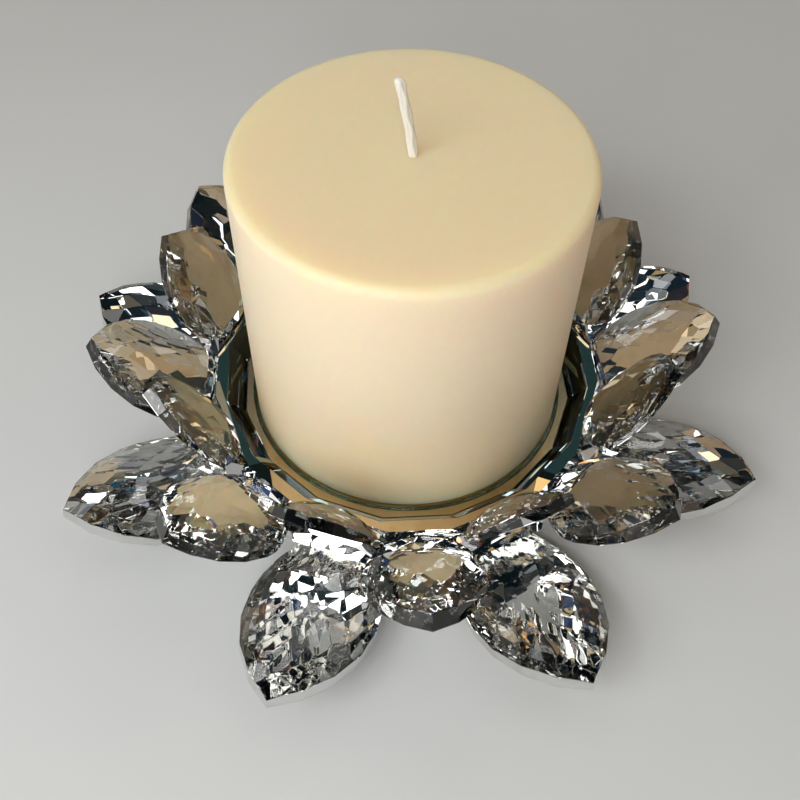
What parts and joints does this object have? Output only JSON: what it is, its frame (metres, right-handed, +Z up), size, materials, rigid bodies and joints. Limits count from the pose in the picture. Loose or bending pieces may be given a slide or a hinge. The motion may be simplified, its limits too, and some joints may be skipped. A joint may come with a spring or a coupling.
{
  "type": "lotus_candle_holder",
  "caption": "Lotus-shaped cut-glass candle holder: tiers of checkerboard-cut petals round a faceted bowl with a loose cream pillar candle that lifts out",
  "frame": {"origin": "on the table, under the middle of the foot plate", "axes": "+Z up along the candle; +X to the right and -Y towards the viewer in the picture"},
  "size_m": [0.1716, 0.1716, 0.1056],
  "materials": {
    "petal_glass": "clear cut crystal, polished, with a silvered back",
    "bowl_glass": "clear polished cut glass",
    "foot_glass": "clear polished glass",
    "wax": "smooth cream paraffin wax, slightly translucent",
    "cotton": "waxed braided cotton"
  },
  "bodies": {
    "holder": {"foot_plate": "foot_glass", "candle_bowl": "bowl_glass", "lower_petal_1": "petal_glass", "lower_petal_2": "petal_glass", "lower_petal_3": "petal_glass", "lower_petal_4": "petal_glass", "lower_petal_5": "petal_glass", "lower_petal_6": "petal_glass", "lower_petal_7": "petal_glass", "lower_petal_8": "petal_glass", "middle_petal_1": "petal_glass", "middle_petal_2": "petal_glass", "middle_petal_3": "petal_glass", "middle_petal_4": "petal_glass", "middle_petal_5": "petal_glass", "middle_petal_6": "petal_glass", "middle_petal_7": "petal_glass", "middle_petal_8": "petal_glass", "upper_petal_1": "petal_glass", "upper_petal_2": "petal_glass", "upper_petal_3": "petal_glass", "upper_petal_4": "petal_glass", "upper_petal_5": "petal_glass", "upper_petal_6": "petal_glass", "upper_petal_7": "petal_glass", "upper_petal_8": "petal_glass"},
    "candle": {"candle_wax": "wax", "candle_wick": "cotton"}
  },
  "joints": [
    {"name": "candle_lift", "type": "slide", "parent": "holder", "child": "candle", "axis": [0, 0, 1], "range_m": [0, 0.05]}
  ]
}
